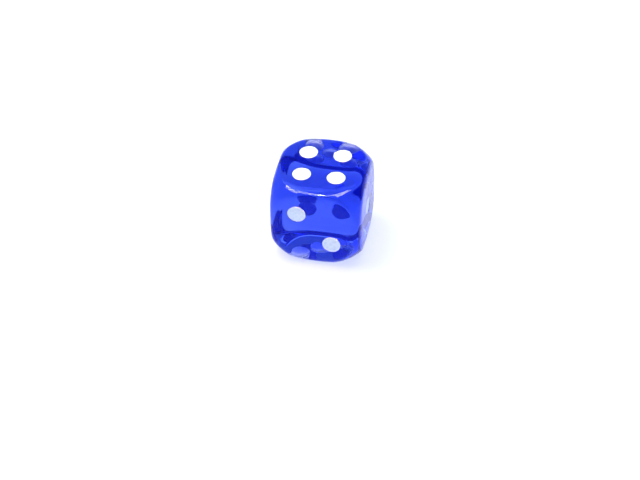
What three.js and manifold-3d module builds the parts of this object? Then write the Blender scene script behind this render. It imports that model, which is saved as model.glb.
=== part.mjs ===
// A 16 mm casino-game die: one round-cornered block of clear blue acrylic, with white paint in its
// moulded pips. Millimetres, +Z up; the origin is the middle of the face that the die stands on.
// The four is on top, the two in front (-Y) and the one on the right (+X). Opposite faces add up to
// seven, and the one, two and three run anticlockwise about the corner where they meet.

import * as THREE from 'three';
import { ConvexGeometry } from 'three/addons/geometries/ConvexGeometry.js';
import { mergeVertices } from 'three/addons/utils/BufferGeometryUtils.js';
import Module from 'manifold-3d';

// Driving dimensions of the block. Its surface blends a rounded cube with a ball.
const SIZE = 16; // from a flat face to the opposite one
const BALL_RADIUS = 11.2; // the ball that takes the eight corners off
const SQUARENESS = 12; // the power in the rounded cube's formula; a higher one has sharper edges
const BLEND = 40; // the power that joins cube and ball; a higher one joins them more abruptly
const CROWN = 0.013; // how far the rounded cube bulges out of each face before it is cut flat
const FLAT_RADIUS = 5.6; // a circle well inside the flat of each face

// Driving dimensions of the pips.
const PIP_SPACING = 3; // from the middle of a face to its outer rows and columns of pips
const SIX_SPACING = 4; // the same for the rows of the six, which are wider apart so as not to touch
const PIP_RADIUS = 1.6;
const PIP_DEPTH = 0.45;
const PIP_FILLET = 0.2; // where a pip's wall turns into its floor
const PAINT_GAP = 0.02; // all round, between the paint and the acrylic
const PAINT_RIM = 0.05; // how far the paint's edge lies below the face
const PAINT_DISH = 0.09; // how much lower the paint is in the middle, where it shrank as it dried

// How finely the round surfaces are divided.
const AZIMUTH_STEPS = 8; // in a quarter turn about a face's axis
const TILT_STEPS = 5; // from a face's flat over to its neighbour's edge
const PIP_SIDES = 24;
const FILLET_STEPS = 1;
const DISH_STEPS = 2;

const HALF = SIZE / 2;

// A pip's place on its face, as its column (-1 left, 1 right) and its row (-1 lower, 1 upper).
const PLACES = {
  centre: [0, 0],
  upper_left: [-1, 1],
  upper_right: [1, 1],
  middle_left: [-1, 0],
  middle_right: [1, 0],
  lower_left: [-1, -1],
  lower_right: [1, -1],
};

const DIAGONAL = ['upper_left', 'lower_right'];
const CORNERS = ['upper_left', 'upper_right', 'lower_left', 'lower_right'];
const SIDES = ['middle_left', 'middle_right'];

// Each face: its outward normal, the directions of its columns and rows, and its pips.
const FACES = {
  one: { normal: [1, 0, 0], right: [0, 1, 0], up: [0, 0, 1], pips: ['centre'] },
  two: { normal: [0, -1, 0], right: [1, 0, 0], up: [0, 0, 1], pips: DIAGONAL },
  three: { normal: [0, 0, -1], right: [1, 0, 0], up: [0, -1, 0], pips: ['centre', ...DIAGONAL] },
  four: { normal: [0, 0, 1], right: [1, 0, 0], up: [0, 1, 0], pips: CORNERS },
  five: { normal: [0, 1, 0], right: [-1, 0, 0], up: [0, 0, 1], pips: ['centre', ...CORNERS] },
  six: { normal: [-1, 0, 0], right: [0, -1, 0], up: [0, 0, 1], pips: [...CORNERS, ...SIDES] },
};

const wasm = await Module();
wasm.setup();

/** The manifold-3d solid of a closed three.js geometry. */
function toSolid(geometry) {
  const bare = geometry.index ? geometry.toNonIndexed() : geometry.clone();
  bare.deleteAttribute('normal');
  bare.deleteAttribute('uv');
  const merged = mergeVertices(bare);
  return new wasm.Manifold(new wasm.Mesh({
    numProp: 3,
    vertProperties: new Float32Array(merged.attributes.position.array),
    triVerts: new Uint32Array(merged.index.array),
  }));
}

/** The three.js geometry of a manifold-3d solid. */
function toGeometry(solid) {
  const mesh = solid.getMesh();
  const geometry = new THREE.BufferGeometry();
  geometry.setAttribute('position', new THREE.BufferAttribute(mesh.vertProperties, mesh.numProp));
  geometry.setIndex(new THREE.BufferAttribute(mesh.triVerts, 1));
  geometry.computeVertexNormals();
  return geometry;
}

/**
 * Where a direction from the block's centre meets its surface. The sum of powers is 1 all over the
 * rounded cube, and the ball's term takes over towards the corners.
 */
function surfacePoint(direction) {
  const powers = direction.toArray().map((v) => Math.abs(v / (HALF + CROWN)) ** SQUARENESS);
  const cube = powers.reduce((sum, power) => sum + power) ** (BLEND / SQUARENESS);
  const ball = (direction.length() / BALL_RADIUS) ** BLEND;
  return direction.clone().divideScalar((cube + ball) ** (1 / BLEND)).clampScalar(-HALF, HALF);
}

/**
 * Points on an eighth of the block's surface, about its centre, along directions that fan out from
 * each of the three axes as far as the plane halfway to the next axis.
 */
function eighthPoints() {
  const firstTilt = Math.atan(FLAT_RADIUS / HALF);
  const points = [];
  for (let i = 0; i <= AZIMUTH_STEPS; i += 1) {
    const azimuth = (i / AZIMUTH_STEPS) * Math.PI / 2;
    const lastTilt = Math.atan(1 / Math.max(Math.cos(azimuth), Math.sin(azimuth)));
    for (let j = 0; j <= TILT_STEPS; j += 1) {
      const tilt = THREE.MathUtils.lerp(firstTilt, lastTilt, j / TILT_STEPS);
      const { x, y, z } = surfacePoint(new THREE.Vector3().setFromSphericalCoords(1, tilt, azimuth));
      points.push([x, y, z], [z, x, y], [y, z, x]);
    }
  }
  return points;
}

/** The whole block, before its pips are sunk. */
function blockSolid() {
  const signs = [-1, 1];
  const points = eighthPoints().flatMap(([x, y, z]) => signs.flatMap((sx) => signs.flatMap((sy) =>
    signs.map((sz) => new THREE.Vector3(sx * x, sy * y, sz * z + HALF)))));
  return toSolid(new ConvexGeometry(points));
}

/**
 * Half the section of a pip or its paint, from the axis out along the floor, round the fillet and up
 * the wall, with the face of the die at height 0. The inset shrinks the section all round.
 */
function floorAndWall(inset, wallTop) {
  const radius = PIP_RADIUS - inset;
  const floor = -PIP_DEPTH + inset;
  const fillet = PIP_FILLET - inset;
  const section = [new THREE.Vector2(0, floor)];
  for (let i = 0; i <= FILLET_STEPS; i += 1) {
    const angle = (i / FILLET_STEPS) * Math.PI / 2;
    section.push(new THREE.Vector2(
      radius - fillet + fillet * Math.sin(angle), floor + fillet - fillet * Math.cos(angle)));
  }
  section.push(new THREE.Vector2(radius, wallTop));
  return section;
}

/** The cutter that sinks a pip; it stands clear of the face by a pip's depth. */
function pipCutterGeometry() {
  const section = [...floorAndWall(0, PIP_DEPTH), new THREE.Vector2(0, PIP_DEPTH)];
  return new THREE.LatheGeometry(section, PIP_SIDES);
}

/** The paint in a pip, with its dished upper side. */
function paintGeometry() {
  const radius = PIP_RADIUS - PAINT_GAP;
  const section = floorAndWall(PAINT_GAP, -PAINT_RIM);
  for (let i = DISH_STEPS - 1; i >= 0; i -= 1) {
    const share = i / DISH_STEPS;
    section.push(new THREE.Vector2(radius * share, -PAINT_RIM - PAINT_DISH * (1 - share ** 2)));
  }
  return new THREE.LatheGeometry(section, PIP_SIDES);
}

/** Where a pip sits: its own +Y points out of the face, and its origin is on the face. */
function pipPlacement(face, place) {
  const [normal, right, up] = [face.normal, face.right, face.up].map((v) => new THREE.Vector3(...v));
  const [column, row] = place;
  const rowSpacing = face === FACES.six ? SIX_SPACING : PIP_SPACING;
  const origin = new THREE.Vector3(0, 0, HALF)
    .addScaledVector(normal, HALF)
    .addScaledVector(right, column * PIP_SPACING)
    .addScaledVector(up, row * rowSpacing);
  return new THREE.Matrix4().makeBasis(up, normal, right).setPosition(origin);
}

const acrylic = () => new THREE.MeshStandardMaterial({
  color: '#2a35d8', roughness: 0.05, metalness: 0, transparent: true, opacity: 0.6,
});
const whitePaint = () => new THREE.MeshStandardMaterial({
  color: '#f2f4f7', roughness: 0.35, metalness: 0,
});

const die = new THREE.Group();
let block = blockSolid();

for (const [faceName, face] of Object.entries(FACES)) {
  for (const placeName of face.pips) {
    const placement = pipPlacement(face, PLACES[placeName]);
    block = block.subtract(toSolid(pipCutterGeometry().applyMatrix4(placement)));
    const paint = new THREE.Mesh(paintGeometry(), whitePaint());
    paint.name = `pip_${faceName}_${placeName}`;
    paint.applyMatrix4(placement);
    die.add(paint);
  }
}

const body = new THREE.Mesh(toGeometry(block), acrylic());
body.name = 'die_body';
die.add(body);

export default die;
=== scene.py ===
"""The looks of a clear blue acrylic die with white painted pips, built round its CAD frame."""

import math

import bmesh
import bpy
from mathutils import Matrix, Vector


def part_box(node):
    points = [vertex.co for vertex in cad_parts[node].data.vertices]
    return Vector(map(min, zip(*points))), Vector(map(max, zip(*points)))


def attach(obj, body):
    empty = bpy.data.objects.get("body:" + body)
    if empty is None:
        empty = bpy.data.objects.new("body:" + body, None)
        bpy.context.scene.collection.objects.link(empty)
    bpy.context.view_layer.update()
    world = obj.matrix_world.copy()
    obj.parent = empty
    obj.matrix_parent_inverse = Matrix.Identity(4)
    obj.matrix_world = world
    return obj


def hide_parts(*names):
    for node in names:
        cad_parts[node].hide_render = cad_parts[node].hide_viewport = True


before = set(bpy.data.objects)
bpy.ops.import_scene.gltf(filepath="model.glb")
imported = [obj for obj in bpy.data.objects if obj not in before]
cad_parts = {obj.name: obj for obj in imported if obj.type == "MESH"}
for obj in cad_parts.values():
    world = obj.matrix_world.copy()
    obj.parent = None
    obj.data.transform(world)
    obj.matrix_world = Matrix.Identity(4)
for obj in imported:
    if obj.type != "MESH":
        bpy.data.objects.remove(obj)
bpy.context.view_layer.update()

# Sizes, in metres. The block's size and the pips' places come from the frame.
MM = 0.001
BALL_RADIUS = 11.2 * MM  # the ball that takes the block's corners off
SQUARENESS = 12  # the power in the formula of a rounded cube; a higher one has sharper edges
BLEND = 40  # the power that joins the rounded cube and the ball
CROWN = 0.013 * MM  # how far the rounded cube bulges out of each face before it is cut flat
FLAT_REACH = 6.05 * MM  # from the middle of a face straight to where its flat ends
FLAT_POWER = 3  # 2 would make the flat's outline a circle; this squares it so that it clears the pips
FLAT_FADE = 4  # how soon the few microns that the flat stands proud die away down the rounding
PIP_RADIUS = 1.6 * MM
PIP_DEPTH = 0.45 * MM
PIP_FILLET = 0.2 * MM  # where a pip's wall turns into its floor
RIM_RADIUS = 0.07 * MM  # the soft edge that the mould and the polishing leave round a pip
FLAT_MARGIN = 0.03 * MM  # a flat ring beside each round edge, which keeps the flat's shading flat
PAINT_DISH = 0.1 * MM  # how far the paint sinks in the middle as it dries
DISH_POWER = 4  # 2 would be a bowl; this keeps the middle of the dish flat
PAINT_BITE = 0.01 * MM  # how far the paint's back lies in the acrylic, so that no air is between

# How finely the round shapes are divided.
QUARTER_STEPS = 32
TILT_STEPS = 22
PIP_SIDES = 72
RIM_STEPS = 5
FILLET_STEPS = 6
DISH_STEPS = 8
MERGE = 0.0001 * MM  # points closer than this are one

low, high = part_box("die_body")
CENTRE = (low + high) / 2
HALF = (high.z - low.z) / 2
QUARTER = math.pi / 2

PAINT_NODES = sorted(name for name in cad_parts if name.startswith("pip_"))


# ---- Shapes ----


def pip_place(node):
    """A pip's outward direction, the point on the face over its middle, and its paint's lower rim."""
    lo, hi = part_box(node)
    size = hi - lo
    axis = min(range(3), key=lambda i: size[i])
    away = (lo + hi) / 2 - CENTRE
    outward = Vector((0, 0, 0))
    outward[axis] = math.copysign(1, away[axis])
    on_face = CENTRE + away
    on_face[axis] = CENTRE[axis] + outward[axis] * HALF
    rim_depth = HALF - max(abs(lo[axis] - CENTRE[axis]), abs(hi[axis] - CENTRE[axis]))
    return outward, on_face, rim_depth


def turn_to(outward):
    """The turn that takes +Z to a face's outward direction."""
    return outward.to_track_quat("Z", "Y").to_matrix().to_4x4()


def surface_point(way):
    """Where a unit direction from the block's middle meets its surface, which blends cube and ball."""
    cube = sum(abs(part / (HALF + CROWN)) ** SQUARENESS for part in way) ** (BLEND / SQUARENESS)
    ball = (1 / BALL_RADIUS) ** BLEND
    point = way / (cube + ball) ** (1 / BLEND)
    return Vector([min(max(part, -HALF), HALF) for part in point])


def edge_point(spoke, row):
    """A point on the rounding of the upper panel, about the block's middle.

    A quarter of the panel has QUARTER_STEPS + 1 spokes. Row 0 is the edge of the flat, and the last
    row is where the next panels begin, on the planes halfway to the other axes.
    """
    quarter, step = divmod(spoke, QUARTER_STEPS + 1)
    azimuth = QUARTER * step / QUARTER_STEPS
    across, along = math.cos(azimuth), math.sin(azimuth)
    flat_end = FLAT_REACH / (across**FLAT_POWER + along**FLAT_POWER) ** (1 / FLAT_POWER)
    first, last = math.atan(flat_end / HALF), math.atan(1 / max(across, along))
    share = row / TILT_STEPS
    points = []
    for tilt in (first, first + (last - first) * share):
        way = Vector((math.sin(tilt) * across, math.sin(tilt) * along, math.cos(tilt)))
        points.append(surface_point(way))
    flat_point, point = points
    point.z += (HALF - flat_point.z) * (1 - share) ** FLAT_FADE
    return Matrix.Rotation(quarter * QUARTER, 3, "Z") @ point


def edges_of(verts):
    """The edges that meet at some vertices, each once and in a steady order."""
    return list(dict.fromkeys(edge for vert in verts for edge in vert.link_edges))


def next_ring(bm, edges):
    """Extrudes a ring of edges in place, and gives the new ring's vertices and edges."""
    made = bmesh.ops.extrude_edge_only(bm, edges=edges)["geom"]
    verts = [part for part in made if isinstance(part, bmesh.types.BMVert)]
    return verts, [part for part in made if isinstance(part, bmesh.types.BMEdge)]


def pip_section():
    """Radius and height, from the face in, of a pip's rim, wall and floor."""
    section = [(PIP_RADIUS + RIM_RADIUS, 0)]
    for step in range(1, RIM_STEPS + 1):
        angle = QUARTER * step / RIM_STEPS
        reach = PIP_RADIUS + RIM_RADIUS * (1 - math.sin(angle))
        section.append((reach, RIM_RADIUS * (math.cos(angle) - 1)))
    for step in range(FILLET_STEPS + 1):
        angle = QUARTER * step / FILLET_STEPS
        reach = PIP_RADIUS - PIP_FILLET * (1 - math.cos(angle))
        section.append((reach, PIP_FILLET * (1 - math.sin(angle)) - PIP_DEPTH))
    return section


def sink_pip(bm, edges, middle):
    """Takes a ring on the upper flat down into a pip, and closes its floor."""
    for radius, height in pip_section():
        verts, edges = next_ring(bm, edges)
        for vert in verts:
            spread = (vert.co - middle).to_2d().normalized() * radius
            vert.co = middle + Vector((spread.x, spread.y, height))
    bmesh.ops.contextual_create(bm, geom=edges)


def add_panel(bm, middles):
    """Adds the upper panel of the block about its middle, with a pip sunk at each place given."""
    spoke = bm.verts.layers.int["spoke"]
    ring = bmesh.ops.create_circle(bm, segments=4 * (QUARTER_STEPS + 1), radius=HALF)["verts"]
    edges = edges_of(ring)
    for index, vert in enumerate(ring):
        vert[spoke] = index
        vert.co = edge_point(index, TILT_STEPS)
    for row in reversed(range(TILT_STEPS)):
        ring, edges = next_ring(bm, edges)
        for vert in ring:
            vert.co = edge_point(vert[spoke], row)
    bmesh.ops.remove_doubles(bm, verts=ring, dist=MERGE)
    ring = [vert for vert in ring if vert.is_valid]
    edges = [edge for edge in edges_of(ring) if edge.is_boundary]
    ring, edges = next_ring(bm, edges)
    inwards = 1 - FLAT_MARGIN / FLAT_REACH
    bmesh.ops.scale(bm, vec=(inwards, inwards, 1), verts=ring)
    rings = []
    for middle in middles:
        reach = PIP_RADIUS + RIM_RADIUS + FLAT_MARGIN
        spot = Matrix.Translation(middle)
        circle = bmesh.ops.create_circle(bm, segments=PIP_SIDES, radius=reach, matrix=spot)
        rings.append(edges_of(circle["verts"]))
    flat_edges = edges + [edge for pip_ring in rings for edge in pip_ring]
    bmesh.ops.triangle_fill(bm, use_beauty=True, edges=flat_edges, normal=(0, 0, 1))
    for middle, pip_ring in zip(middles, rings):
        sink_pip(bm, pip_ring, middle)


def new_piece(name, bm, material):
    """Makes a bmesh a smooth-shaded piece of the die, with its material."""
    bmesh.ops.recalc_face_normals(bm, faces=bm.faces)
    mesh = bpy.data.meshes.new(name)
    bm.to_mesh(mesh)
    bm.free()
    mesh.shade_smooth()
    mesh.materials.append(material)
    piece = bpy.data.objects.new(name, mesh)
    bpy.context.scene.collection.objects.link(piece)
    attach(piece, "root")
    return piece


def make_block(material):
    """The acrylic block: six panels, each with its own pips, joined along their outer rows."""
    bm = bmesh.new()
    bm.verts.layers.int.new("spoke")
    places = [pip_place(node) for node in PAINT_NODES]
    for face in dict.fromkeys(tuple(outward) for outward, _, _ in places):
        turn = turn_to(Vector(face))
        on_face = [spot for outward, spot, _ in places if tuple(outward) == face]
        middles = [turn.inverted() @ (spot - CENTRE) for spot in on_face]
        before = set(bm.verts)
        add_panel(bm, middles)
        panel = [vert for vert in bm.verts if vert not in before]
        bmesh.ops.transform(bm, matrix=Matrix.Translation(CENTRE) @ turn, verts=panel)
    bmesh.ops.remove_doubles(bm, verts=bm.verts, dist=MERGE)
    return new_piece("acrylic_block", bm, material)


def make_paint(node, material):
    """The paint in one pip: a section spun about the pip's axis, then set into its face."""
    outward, on_face, rim_depth = pip_place(node)
    radius = PIP_RADIUS + PAINT_BITE
    floor = -PIP_DEPTH - PAINT_BITE
    section = [(0, floor), (radius - PIP_FILLET, floor)]
    for step in range(1, FILLET_STEPS + 1):
        angle = QUARTER * step / FILLET_STEPS
        reach = radius - PIP_FILLET * (1 - math.sin(angle))
        section.append((reach, floor + PIP_FILLET * (1 - math.cos(angle))))
    for step in reversed(range(DISH_STEPS + 1)):
        share = step / DISH_STEPS
        section.append((radius * share, -rim_depth - PAINT_DISH * (1 - share**DISH_POWER)))
    bm = bmesh.new()
    verts = [bm.verts.new((reach, 0, height)) for reach, height in section]
    edges = [bm.edges.new(pair) for pair in zip(verts, verts[1:])]
    bmesh.ops.spin(
        bm, geom=verts + edges, axis=(0, 0, 1), angle=math.tau, steps=PIP_SIDES, use_merge=True,
    )
    bmesh.ops.remove_doubles(bm, verts=bm.verts, dist=MERGE)
    # How far out from the pip's axis each point lies, as a share of the paint's radius; the enamel
    # paints its rim highlight with it.
    rim = bm.verts.layers.float.new("rim")
    for vert in bm.verts:
        vert[rim] = vert.co.to_2d().length / radius
    bmesh.ops.transform(bm, matrix=Matrix.Translation(on_face) @ turn_to(outward), verts=bm.verts)
    return new_piece(f"{node}_paint", bm, material)


# ---- Materials ----

# The acrylic's surface.
SINK_WIDTH = 3.5 * MM  # of the shallow waves that the moulding leaves
SINK_DEPTH = 0.006 * MM
SCRATCH_SPACING = 2.2 * MM
SCRATCH_WIDTH = 0.026 * MM
SCRATCH_STRAY = 2 * MM  # how far a scratch bends away from a straight line
STRAY_WIDTH = 5 * MM  # of one bend
WORN_WIDTH = 4 * MM  # of the patches that have scratches

# The enamel's surface.
SPECK_WIDTH = 0.35 * MM  # of its thin and thick spots
PEEL_WIDTH = 0.25 * MM  # of its orange peel
PEEL_DEPTH = 0.004 * MM

# The colour sockets of a Mix node share their names with its other kinds, so they go by number.
MIX_FACTOR, MIX_FIRST, MIX_SECOND, MIX_RESULT = 0, 6, 7, 2


def linear(hex_colour):
    """An sRGB hex colour as linear RGBA."""
    channels = [int(hex_colour[i : i + 2], 16) / 255 for i in (1, 3, 5)]
    return [c / 12.92 if c <= 0.04045 else ((c + 0.055) / 1.055) ** 2.4 for c in channels] + [1]


def add_node(tree, kind, settings=None, links=None):
    """Adds a node. Its settings go by attribute, or by input name or number, and its links by input."""
    node = tree.nodes.new(kind)
    for key, value in (settings or {}).items():
        if isinstance(key, int) or key in node.inputs:
            node.inputs[key].default_value = value
        else:
            setattr(node, key, value)
    for key, source in (links or {}).items():
        tree.links.new(source, node.inputs[key])
    return node


def new_material(name):
    """A material and its node tree, which is empty."""
    material = bpy.data.materials.new(name)
    material.use_nodes = True
    material.node_tree.nodes.clear()
    return material, material.node_tree


def hairline_scratches(tree, place):
    """How scratched the surface is, from 0 to 1: thin bent lines, in patches where it has been worn."""
    stray = add_node(tree, "ShaderNodeTexNoise", {
        "Scale": 1 / STRAY_WIDTH, "Detail": 2.0,
    }, {"Vector": place})
    bent = add_node(tree, "ShaderNodeVectorMath", {
        "operation": "MULTIPLY_ADD", 1: (SCRATCH_STRAY, SCRATCH_STRAY, SCRATCH_STRAY),
    }, {0: stray.outputs["Color"], 2: place})
    web = add_node(tree, "ShaderNodeTexVoronoi", {
        "feature": "DISTANCE_TO_EDGE", "Scale": 1 / SCRATCH_SPACING,
    }, {"Vector": bent.outputs["Vector"]})
    line = add_node(tree, "ShaderNodeMapRange", {
        "From Max": SCRATCH_WIDTH / SCRATCH_SPACING, "To Min": 1.0, "To Max": 0.0,
    }, {"Value": web.outputs["Distance"]})
    patch = add_node(tree, "ShaderNodeTexNoise", {
        "Scale": 1 / WORN_WIDTH, "Detail": 0.0,
    }, {"Vector": place})
    worn = add_node(tree, "ShaderNodeMapRange", {
        "From Min": 0.5, "From Max": 0.65,
    }, {"Value": patch.outputs["Fac"]})
    scratch = add_node(tree, "ShaderNodeMath", {
        "operation": "MULTIPLY",
    }, {0: line.outputs["Result"], 1: worn.outputs["Result"]})
    return scratch.outputs["Value"]


def polished_blue_acrylic():
    """Transparent acrylic, PMMA, dyed ultramarine, moulded and then tumbled to a polish.

    Clear and glassy, with an IOR of 1.49. The dye takes the red out in a few millimetres, then the
    green, so thin places are pale and long ways through the block are a deep, saturated blue. The
    moulding leaves a slow waviness, and handling leaves a sparse web of hairline scratches.
    """
    material, tree = new_material("polished_blue_acrylic")
    place = add_node(tree, "ShaderNodeTexCoord").outputs["Object"]
    gloss = add_node(tree, "ShaderNodeMapRange", {
        "To Min": 0.012, "To Max": 0.2,
    }, {"Value": hairline_scratches(tree, place)})
    sink = add_node(tree, "ShaderNodeTexNoise", {
        "Scale": 1 / SINK_WIDTH, "Detail": 1.0,
    }, {"Vector": place})
    wavy = add_node(tree, "ShaderNodeBump", {
        "Strength": 1.0, "Distance": SINK_DEPTH,
    }, {"Height": sink.outputs["Fac"]})
    shader = add_node(tree, "ShaderNodeBsdfPrincipled", {
        "Base Color": linear("#ffffff"), "IOR": 1.49, "Transmission Weight": 1.0,
        "Specular Tint": linear("#7ca0ff"),
    }, {"Roughness": gloss.outputs["Result"], "Normal": wavy.outputs["Normal"]})
    dye = add_node(tree, "ShaderNodeVolumeAbsorption", {"Color": linear("#388bf6"), "Density": 155.0})
    add_node(tree, "ShaderNodeOutputMaterial", links={
        "Surface": shader.outputs["BSDF"], "Volume": dye.outputs["Volume"],
    })
    return material


def white_pip_enamel():
    """White enamel, dabbed into the pips and wiped flush.

    Semi-gloss with a fine orange peel, cool in tone, and faintly mottled where the coat is thin. It is
    painted lighter towards the rim: a painted highlight for the light that each pip's rim catches.
    """
    material, tree = new_material("white_pip_enamel")
    place = add_node(tree, "ShaderNodeTexCoord").outputs["Object"]
    speck = add_node(tree, "ShaderNodeTexNoise", {
        "Scale": 1 / SPECK_WIDTH, "Detail": 3.0, "Roughness": 0.65,
    }, {"Vector": place})
    coat = add_node(tree, "ShaderNodeMapRange", {
        "From Min": 0.35, "From Max": 0.6,
    }, {"Value": speck.outputs["Fac"]})
    mottled = add_node(tree, "ShaderNodeMix", {
        "data_type": "RGBA", MIX_FIRST: linear("#c9daeb"), MIX_SECOND: linear("#dbe8f5"),
    }, {MIX_FACTOR: coat.outputs["Result"]})
    # Painted highlight: a lighter colour mixed in near each pip's rim stands in for the light that the
    # rim catches.
    rim = add_node(tree, "ShaderNodeAttribute", {"attribute_name": "rim"})
    rim_highlight_mask = add_node(tree, "ShaderNodeMapRange", {
        "From Min": 0.82, "From Max": 0.97,
    }, {"Value": rim.outputs["Fac"]})
    enamel_with_painted_highlight = add_node(tree, "ShaderNodeMix", {
        "data_type": "RGBA", MIX_SECOND: linear("#e6f0fa"),
    }, {MIX_FACTOR: rim_highlight_mask.outputs["Result"], MIX_FIRST: mottled.outputs[MIX_RESULT]})
    peel = add_node(tree, "ShaderNodeTexNoise", {
        "Scale": 1 / PEEL_WIDTH, "Detail": 1.0,
    }, {"Vector": place})
    bumpy = add_node(tree, "ShaderNodeBump", {
        "Strength": 1.0, "Distance": PEEL_DEPTH,
    }, {"Height": peel.outputs["Fac"]})
    gloss = add_node(tree, "ShaderNodeMapRange", {
        "To Min": 0.3, "To Max": 0.45,
    }, {"Value": speck.outputs["Fac"]})
    shader = add_node(tree, "ShaderNodeBsdfPrincipled", {"IOR": 1.5}, {
        "Base Color": enamel_with_painted_highlight.outputs[MIX_RESULT],
        "Roughness": gloss.outputs["Result"],
        "Normal": bumpy.outputs["Normal"],
    })
    add_node(tree, "ShaderNodeOutputMaterial", links={"Surface": shader.outputs["BSDF"]})
    return material


def white_light_table():
    """A matt white acrylic table, lit evenly from inside, so that shadows on it are pale."""
    material, tree = new_material("white_light_table")
    shader = add_node(tree, "ShaderNodeBsdfPrincipled", {
        "Base Color": linear("#959595"), "Roughness": 0.6, "Specular IOR Level": 0.2,
        "Emission Color": linear("#f0f6ff"), "Emission Strength": 0.69,
    })
    add_node(tree, "ShaderNodeOutputMaterial", links={"Surface": shader.outputs["BSDF"]})
    return material


# ---- Stage ----

CAMERA_PLACE = Vector((49.81, -235.27, 213.1)) * MM
CAMERA_LENS = 101.9  # mm, on a sensor 36 mm wide
CAMERA_PITCH = math.radians(41.72)
CAMERA_HEADING = math.radians(12.11)
CAMERA_ROLL = math.radians(-1.16)
FLOOR_GAP = 0.02 * MM  # so that the block's foot isn't in the floor's plane
FLOOR_SIZE = 4.0
LAMP_DISTANCE = 0.6  # from the middle of the die
VIEW_GAMMA = 0.8  # under 1 deepens the dark tones
INNER_REFLECTIONS = 16  # light can be reflected this often inside the block
LIGHT_BOUNCES = 24


def make_camera():
    """The camera, high in front of the die and a little to its right."""
    data = bpy.data.cameras.new("camera")
    data.lens = CAMERA_LENS
    data.clip_start = 0.01
    camera = bpy.data.objects.new("camera", data)
    turn = Matrix.Rotation(CAMERA_HEADING, 4, "Z") @ Matrix.Rotation(QUARTER - CAMERA_PITCH, 4, "X")
    turn = turn @ Matrix.Rotation(CAMERA_ROLL, 4, "Z")
    camera.matrix_world = Matrix.Translation(CAMERA_PLACE) @ turn
    bpy.context.scene.collection.objects.link(camera)
    bpy.context.scene.camera = camera


def make_floor(material):
    """The table top, a hair below the die."""
    level = Matrix.Translation((0, 0, low.z - FLOOR_GAP))
    bm = bmesh.new()
    bmesh.ops.create_grid(bm, x_segments=1, y_segments=1, size=FLOOR_SIZE / 2, matrix=level)
    mesh = bpy.data.meshes.new("floor")
    bm.to_mesh(mesh)
    bm.free()
    mesh.materials.append(material)
    floor = bpy.data.objects.new("floor", mesh)
    bpy.context.scene.collection.objects.link(floor)


def add_soft_box(name, azimuth, elevation, size, radiance, colour="#ffffff", mirror_only=False):
    """A rectangular lamp that faces the die. Azimuth 0 is in front and 90 on the right, in degrees.

    One that is mirror_only is a card that glossy surfaces show, but which lights nothing else.
    """
    across, up = math.radians(azimuth), math.radians(elevation)
    way = Vector((math.sin(across) * math.cos(up), -math.cos(across) * math.cos(up), math.sin(up)))
    turn = way.to_track_quat("Z", "Y").to_matrix().to_4x4()
    data = bpy.data.lights.new(name, "AREA")
    data.shape = "RECTANGLE"
    data.size, data.size_y = size
    data.color = linear(colour)[:3]
    data.energy = radiance * math.pi * size[0] * size[1]
    lamp = bpy.data.objects.new(name, data)
    lamp.matrix_world = Matrix.Translation(CENTRE + way * LAMP_DISTANCE) @ turn
    lamp.visible_diffuse = lamp.visible_transmission = not mirror_only
    bpy.context.scene.collection.objects.link(lamp)


def make_world():
    """A plain pale blue room."""
    world = bpy.data.worlds.new("studio")
    world.use_nodes = True
    tree = world.node_tree
    tree.nodes.clear()
    sky = add_node(tree, "ShaderNodeBackground", {"Color": linear("#adc2eb"), "Strength": 1.0})
    add_node(tree, "ShaderNodeOutputWorld", links={"Surface": sky.outputs["Background"]})
    bpy.context.scene.world = world


make_camera()
make_floor(white_light_table())
make_world()
add_soft_box("left_card", -46, 54, (0.7, 0.28), 42.0, "#ffc080", mirror_only=True)
add_soft_box("right_card", 63, 65, (0.44, 0.28), 52.0, "#ffc080", mirror_only=True)
add_soft_box("front_card", -9.5, 52, (0.028, 0.14), 450.0, "#ffe8c0", mirror_only=True)
add_soft_box("key", -100, 62, (0.4, 0.4), 5.8, "#fff2dc")
add_soft_box("overhead", 180, 80, (0.6, 0.6), 2.4)

scene = bpy.context.scene
scene.view_settings.view_transform = "Standard"
scene.view_settings.gamma = VIEW_GAMMA
scene.cycles.max_bounces = LIGHT_BOUNCES
scene.cycles.transmission_bounces = LIGHT_BOUNCES
scene.cycles.glossy_bounces = INNER_REFLECTIONS

block = make_block(polished_blue_acrylic())
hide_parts("die_body")

enamel = white_pip_enamel()
for node in PAINT_NODES:
    paint = make_paint(node, enamel)
    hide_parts(node)
